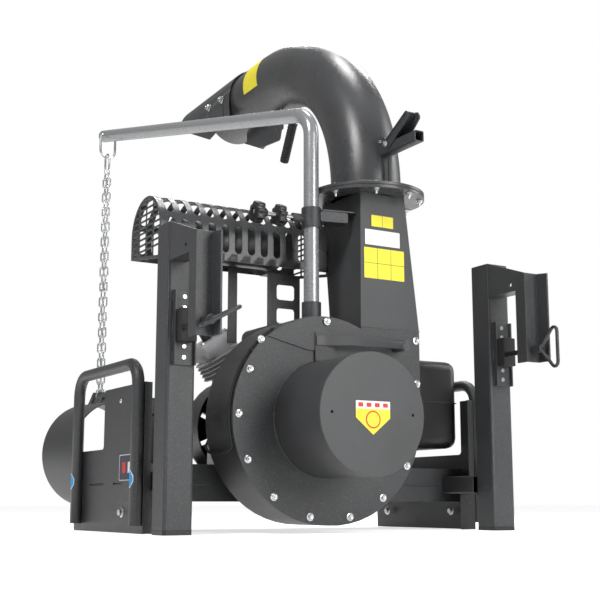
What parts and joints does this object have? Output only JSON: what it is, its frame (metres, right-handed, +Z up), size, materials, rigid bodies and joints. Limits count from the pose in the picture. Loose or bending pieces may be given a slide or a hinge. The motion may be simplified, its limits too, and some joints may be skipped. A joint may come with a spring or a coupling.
{
  "type": "leaf vacuum",
  "caption": "Tailgate-mounted leaf vacuum: engine-driven fan in a scroll housing with a round inlet, tapered chute, swivelling discharge elbow with hood, and a boom that carries a hose ring.",
  "frame": {"origin": "under the middle of the whole box, on the ground", "axes": "+X along the tailgate from the handle side to the air cleaner side, -Y towards the inlet and the tailgate, +Z up"},
  "size_m": [1.1056, 1.4982, 1.5289],
  "materials": {
    "black_coat": "speckled black powder coat",
    "black_plastic": "matte black",
    "cast_alloy": "as cast",
    "galvanised": "satin zinc coat",
    "grey_coat": "dark grey powder coat",
    "rubber": "matte black",
    "steel": "zinc plated"
  },
  "bodies": {
    "machine": {"air_cleaner": "black_plastic", "battery_box": "black_plastic", "blower_housing": "black_plastic", "boom_collar": "black_coat", "boom_socket": "black_coat", "brace_strap": "grey_coat", "chute": "grey_coat", "control_cable": "rubber", "crankcase": "cast_alloy", "cylinder": "cast_alloy", "deck_plate": "black_coat", "ear_plate": "black_coat", "engine_mount": "black_coat", "exhaust_guard": "black_coat", "front_beam": "black_coat", "fuel_tank": "black_plastic", "guard_panel": "black_coat", "guard_stay": "black_coat", "hook_left": "black_coat", "hook_right": "black_coat", "inlet_cover": "grey_coat", "inlet_drum": "grey_coat", "lifting_handle": "black_coat", "muffler": "steel", "pad_bracket_left": "black_coat", "pad_bracket_right": "black_coat", "post_left": "black_coat", "post_plug_left": "black_plastic", "post_plug_right": "black_plastic", "post_right": "black_coat", "rear_beam": "black_coat", "side_panel_left": "black_coat", "side_panel_right": "black_coat", "swivel_flange": "grey_coat", "tank_stay": "black_coat", "volute_bracket": "black_coat", "volute_front": "grey_coat", "volute_shell": "black_coat"},
    "discharge": {"elbow": "grey_coat", "turning_tube": "grey_coat", "turning_grip": "black_coat"},
    "lever": {"lock_lever": "grey_coat"},
    "pin": {"lock_pin": "steel"},
    "hood": {"discharge_hood": "grey_coat"},
    "boom": {"boom_tube": "galvanised"},
    "boom_screw": {"boom_lock_screw": "steel"},
    "boom_jam": {"jam_knob": "black_plastic"},
    "hanger": {"shackle": "galvanised"},
    "chain_run": {"chain": "galvanised"},
    "ring_group": {"hose_ring": "black_coat"},
    "pad_left": {"clamp_pad_left": "rubber"},
    "pad_right": {"clamp_pad_right": "rubber"},
    "screw_left": {"clamp_screw_left": "steel"},
    "screw_right": {"clamp_screw_right": "steel"},
    "rotor": {"impeller": "steel", "crankshaft": "steel"},
    "recoil": {"recoil_handle": "black_plastic"},
    "throttle": {"throttle_lever": "steel"},
    "switch": {"engine_switch": "black_plastic"},
    "tank_cap": {"fuel_cap": "black_plastic"}
  },
  "joints": [
    {"name": "elbow_swivel", "type": "hinge", "parent": "machine", "child": "discharge", "pos_m": [0.11382, -0.40738, 0.9229], "axis": [0, 0, 1], "range_deg": [-70, 12]},
    {"name": "lever_lift", "type": "hinge", "parent": "discharge", "child": "lever", "pos_m": [0.11382, -0.51068, 1.06], "axis": [-1, 0, 0], "range_deg": [-14, 30]},
    {"name": "pin_lift", "type": "slide", "parent": "discharge", "child": "pin", "axis": [0, 0, 1], "range_m": [-0.0042, 0.009]},
    {"name": "hood_tilt", "type": "hinge", "parent": "discharge", "child": "hood", "pos_m": [0.11382, 0.4182, 1.41716], "axis": [-1, 0, 0], "range_deg": [0, 35]},
    {"name": "boom_swing", "type": "hinge", "parent": "machine", "child": "boom", "pos_m": [-0.07618, -0.42238, 1.137], "axis": [0, 0, 1], "range_deg": [-5, 100]},
    {"name": "boom_lock_turn", "type": "hinge", "parent": "machine", "child": "boom_screw", "pos_m": [-0.13618, -0.42238, 0.836], "axis": [-1, 0, 0], "range_deg": [0, 360]},
    {"name": "jam_turn", "type": "hinge", "parent": "machine", "child": "boom_jam", "pos_m": [-0.17718, -0.42238, 0.836], "axis": [-1, 0, 0], "range_deg": [0, 360]},
    {"name": "shackle_swing", "type": "hinge", "parent": "boom", "child": "hanger", "pos_m": [-0.26539, 0.65067, 1.3488], "axis": [0.9848, 0.1736, 0], "range_deg": [-22, 22]},
    {"name": "chain_sway", "type": "hinge", "parent": "hanger", "child": "chain_run", "pos_m": [-0.26539, 0.65067, 1.2688], "axis": [-0.1736, 0.9848, 0], "range_deg": [-15, 15]},
    {"name": "ring_sway", "type": "hinge", "parent": "chain_run", "child": "ring_group", "pos_m": [-0.26539, 0.65067, 0.4269], "axis": [-0.1736, 0.9848, 0], "range_deg": [-20, 20]},
    {"name": "pad_slide_left", "type": "slide", "parent": "machine", "child": "pad_left", "axis": [0, -1, 0], "range_m": [0, 0.0601]},
    {"name": "clamp_turn_left", "type": "hinge", "parent": "pad_left", "child": "screw_left", "pos_m": [-0.50118, -0.65238, 0.491], "axis": [0, -1, 0], "range_deg": [0, 5400]},
    {"name": "pad_slide_right", "type": "slide", "parent": "machine", "child": "pad_right", "axis": [0, -1, 0], "range_m": [0, 0.0601]},
    {"name": "clamp_turn_right", "type": "hinge", "parent": "pad_right", "child": "screw_right", "pos_m": [0.50082, -0.65238, 0.491], "axis": [0, -1, 0], "range_deg": [0, 5400]},
    {"name": "impeller_spin", "type": "hinge", "parent": "machine", "child": "rotor", "pos_m": [-0.07618, -0.37438, 0.289], "axis": [0, 1, 0], "continuous": true},
    {"name": "recoil_pull", "type": "slide", "parent": "machine", "child": "recoil", "axis": [0, 1, 0], "range_m": [0, 0.3], "stiffness_N_per_m": 15, "springref_m": -0.3},
    {"name": "throttle_turn", "type": "hinge", "parent": "machine", "child": "throttle", "pos_m": [-0.20148, -0.19238, 0.33], "axis": [1, 0, 0], "range_deg": [0, 45]},
    {"name": "switch_turn", "type": "hinge", "parent": "machine", "child": "switch", "pos_m": [-0.12618, 0.04962, 0.309], "axis": [0, 1, 0], "range_deg": [0, 60]},
    {"name": "cap_turn", "type": "hinge", "parent": "machine", "child": "tank_cap", "pos_m": [0.14382, -0.07738, 0.59], "axis": [0, 0, 1], "range_deg": [0, 90]}
  ],
  "couplings": [
    {"joint": "pin_lift", "follows": "lever_lift", "m_per_rad": 0.0167},
    {"joint": "pad_slide_left", "follows": "clamp_turn_left", "m_per_rad": 0.00063662},
    {"joint": "pad_slide_right", "follows": "clamp_turn_right", "m_per_rad": 0.00063662}
  ]
}
